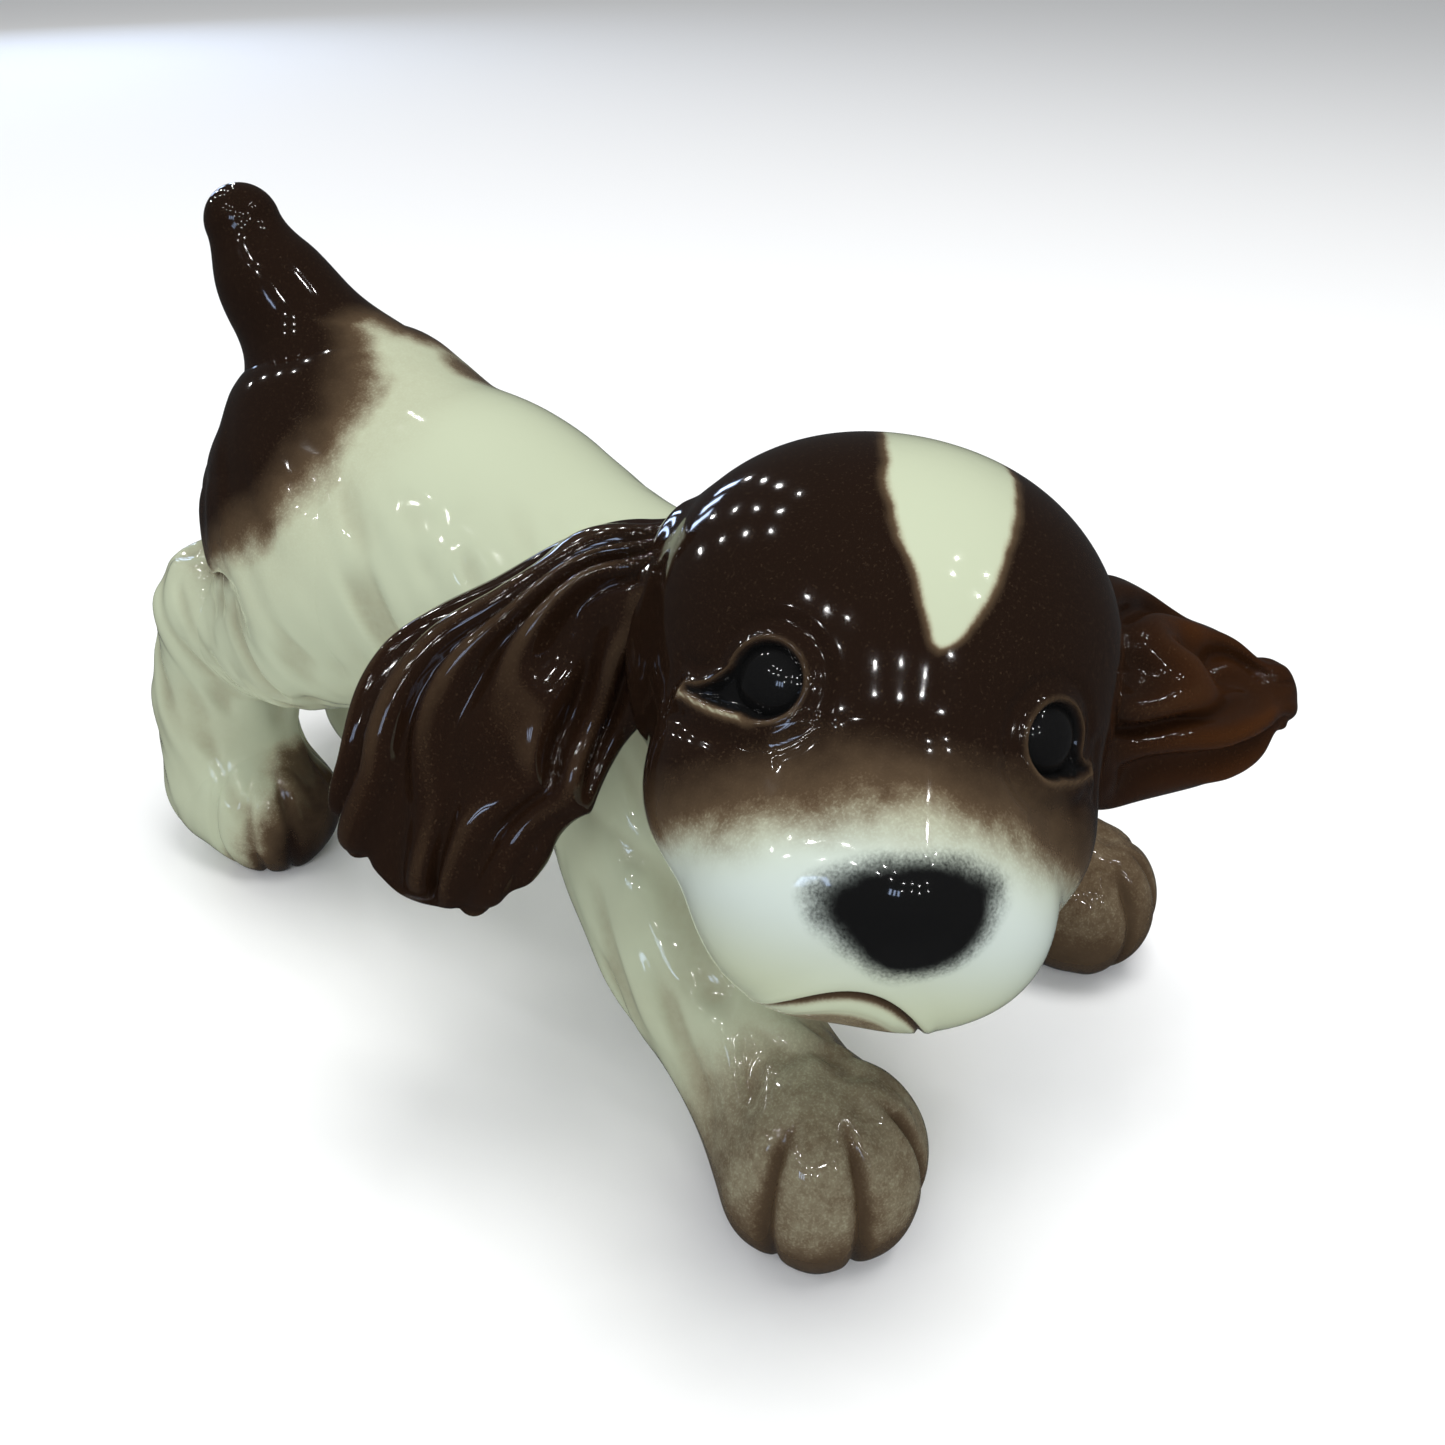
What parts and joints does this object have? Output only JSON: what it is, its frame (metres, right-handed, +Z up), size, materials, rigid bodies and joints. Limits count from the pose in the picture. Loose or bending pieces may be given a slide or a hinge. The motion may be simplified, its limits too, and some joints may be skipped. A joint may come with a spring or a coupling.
{
  "type": "dog figurine",
  "caption": "Glazed pottery spaniel puppy crouching with rump and tail raised, head cocked and turned, ears flying; a free-standing ornament.",
  "frame": {"origin": "on the surface the puppy stands on, under the middle of the whole figurine", "axes": "+Z up, the chest faces -Y, the puppy's own left is +X"},
  "size_m": [0.1012, 0.166, 0.1049],
  "materials": {
    "cream_glaze": "glossy glaze, pale cream-green",
    "brown_glaze": "glossy glaze over airbrushed chocolate brown",
    "buff_glaze": "glossy glaze, buff shading to taupe at the paws"
  },
  "bodies": {
    "root": {"torso": "cream_glaze", "head": "brown_glaze", "right_ear": "brown_glaze", "left_ear": "brown_glaze", "tail": "brown_glaze", "front_right_leg": "buff_glaze", "front_left_leg": "buff_glaze", "hind_right_leg": "cream_glaze", "hind_left_leg": "cream_glaze"}
  },
  "joints": []
}
